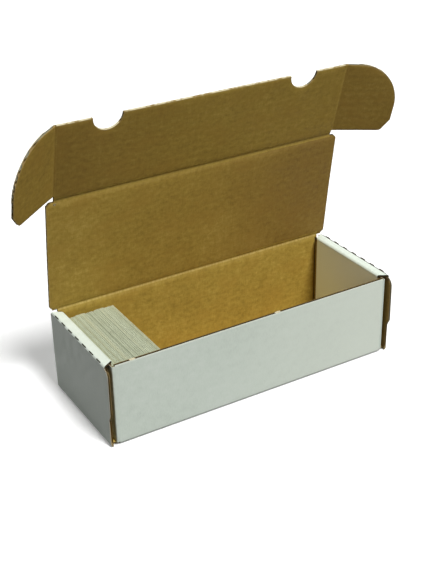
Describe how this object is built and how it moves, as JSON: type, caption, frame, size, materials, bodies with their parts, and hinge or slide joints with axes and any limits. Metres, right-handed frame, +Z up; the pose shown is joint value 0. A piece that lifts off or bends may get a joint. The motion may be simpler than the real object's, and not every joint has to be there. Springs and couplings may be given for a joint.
{
  "type": "card storage box",
  "caption": "Long open-topped corrugated card storage box with a hinged lid, a notched front flap, two tuck ears and a row of blank cards inside.",
  "frame": {"origin": "middle of the underside of the closed box, between the folds of its outer walls", "axes": "+Z up, +X along the box's length to the right, -Y towards the front wall"},
  "size_m": [0.3475, 0.103, 0.2384],
  "materials": {
    "white_liner": "matte, white-printed outer liner",
    "fluted_core": "unbleached fluting",
    "kraft_liner": "brown kraft liner",
    "card_stock": "coated card stock, cut edges"
  },
  "bodies": {
    "box": {"bottom_white_liner": "white_liner", "bottom_fluted_core": "fluted_core", "bottom_kraft_liner": "kraft_liner", "front_wall_white_liner": "white_liner", "front_wall_fluted_core": "fluted_core", "front_wall_kraft_liner": "kraft_liner", "back_wall_white_liner": "white_liner", "back_wall_fluted_core": "fluted_core", "back_wall_kraft_liner": "kraft_liner", "left_end_wall_white_liner": "white_liner", "left_end_wall_fluted_core": "fluted_core", "left_end_wall_kraft_liner": "kraft_liner", "right_end_wall_white_liner": "white_liner", "right_end_wall_fluted_core": "fluted_core", "right_end_wall_kraft_liner": "kraft_liner", "left_rolled_strip_white_liner": "white_liner", "left_rolled_strip_fluted_core": "fluted_core", "left_rolled_strip_kraft_liner": "kraft_liner", "right_rolled_strip_white_liner": "white_liner", "right_rolled_strip_fluted_core": "fluted_core", "right_rolled_strip_kraft_liner": "kraft_liner", "left_inner_end_wall_white_liner": "white_liner", "left_inner_end_wall_fluted_core": "fluted_core", "left_inner_end_wall_kraft_liner": "kraft_liner", "right_inner_end_wall_white_liner": "white_liner", "right_inner_end_wall_fluted_core": "fluted_core", "right_inner_end_wall_kraft_liner": "kraft_liner", "left_front_corner_flap_white_liner": "white_liner", "left_front_corner_flap_fluted_core": "fluted_core", "left_front_corner_flap_kraft_liner": "kraft_liner", "right_front_corner_flap_white_liner": "white_liner", "right_front_corner_flap_fluted_core": "fluted_core", "right_front_corner_flap_kraft_liner": "kraft_liner", "left_back_corner_flap_white_liner": "white_liner", "left_back_corner_flap_fluted_core": "fluted_core", "left_back_corner_flap_kraft_liner": "kraft_liner", "right_back_corner_flap_white_liner": "white_liner", "right_back_corner_flap_fluted_core": "fluted_core", "right_back_corner_flap_kraft_liner": "kraft_liner"},
    "lid": {"lid_panel_white_liner": "white_liner", "lid_panel_fluted_core": "fluted_core", "lid_panel_kraft_liner": "kraft_liner"},
    "flap": {"front_flap_white_liner": "white_liner", "front_flap_fluted_core": "fluted_core", "front_flap_kraft_liner": "kraft_liner"},
    "left_ear": {"left_ear_white_liner": "white_liner", "left_ear_fluted_core": "fluted_core", "left_ear_kraft_liner": "kraft_liner"},
    "right_ear": {"right_ear_white_liner": "white_liner", "right_ear_fluted_core": "fluted_core", "right_ear_kraft_liner": "kraft_liner"},
    "cards": {"card_pack_1": "card_stock", "card_pack_2": "card_stock", "card_pack_3": "card_stock", "card_pack_4": "card_stock", "card_pack_5": "card_stock"}
  },
  "joints": [
    {"name": "lid_hinge", "type": "hinge", "parent": "box", "child": "lid", "pos_m": [0, 0.04888, 0.0739], "axis": [1, 0, 0], "range_deg": [-98.5, 81.5]},
    {"name": "flap_hinge", "type": "hinge", "parent": "lid", "child": "flap", "pos_m": [0, 0.03401, 0.17335], "axis": [1, 0, 0], "range_deg": [-8, 82]},
    {"name": "left_ear_hinge", "type": "hinge", "parent": "flap", "child": "left_ear", "pos_m": [-0.12895, 0.03401, 0.17335], "axis": [0, -0.284, 0.9588], "range_deg": [-32, 58]},
    {"name": "right_ear_hinge", "type": "hinge", "parent": "flap", "child": "right_ear", "pos_m": [0.12895, 0.03401, 0.17335], "axis": [0, 0.284, -0.9588], "range_deg": [-20, 70]},
    {"name": "cards_slide", "type": "slide", "parent": "box", "child": "cards", "axis": [1, 0, 0], "range_m": [0, 0.2054]}
  ]
}
